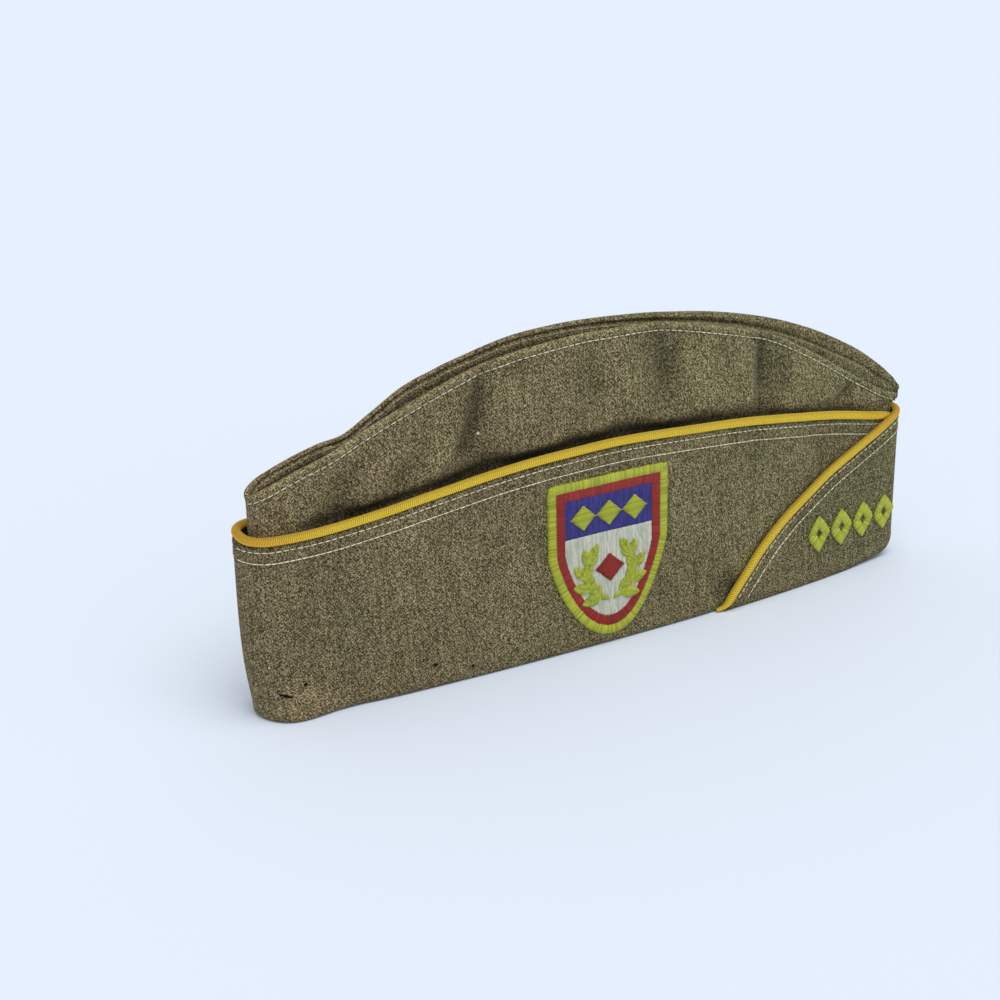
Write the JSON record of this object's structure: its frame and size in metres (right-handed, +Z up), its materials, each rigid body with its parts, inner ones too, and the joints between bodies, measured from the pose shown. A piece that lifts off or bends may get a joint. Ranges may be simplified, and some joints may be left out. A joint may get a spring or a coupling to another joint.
{
  "type": "garrison cap",
  "caption": "Flat folding wool garrison cap with a pleated crown, a turned-up curtain edged in cord, a slanting front lap and embroidered badge.",
  "frame": {"origin": "on the plane of the bottom edge, in the middle of all that stands on it", "axes": "+X towards the wearer's front, +Y towards the wearer's left, +Z up to the crown's ridges"},
  "size_m": [0.2854, 0.034, 0.1205],
  "materials": {
    "wool": "heathered olive-brown twill wool",
    "gold_cord": "ribbed golden cord edging",
    "lemon_thread": "satin-stitched lemon thread",
    "red_thread": "satin-stitched red thread",
    "blue_thread": "filled blue stitching",
    "ivory_thread": "filled ivory stitching",
    "leaf_thread": "yellow-green satin stitching"
  },
  "bodies": {
    "root": {"crown_right": "wool", "crown_left": "wool", "crown_pleat": "wool", "curtain_right": "wool", "curtain_left": "wool", "piping_right": "gold_cord", "piping_left": "gold_cord", "badge_border": "lemon_thread", "badge_band": "red_thread", "badge_chief": "blue_thread", "badge_field": "ivory_thread", "badge_lozenge": "red_thread", "badge_sprig_front": "leaf_thread", "badge_sprig_back": "leaf_thread", "chief_lozenge_1": "lemon_thread", "chief_lozenge_2": "lemon_thread", "chief_lozenge_3": "lemon_thread", "figure_1": "lemon_thread", "figure_2": "lemon_thread", "figure_3": "lemon_thread", "figure_4": "lemon_thread"}
  },
  "joints": []
}
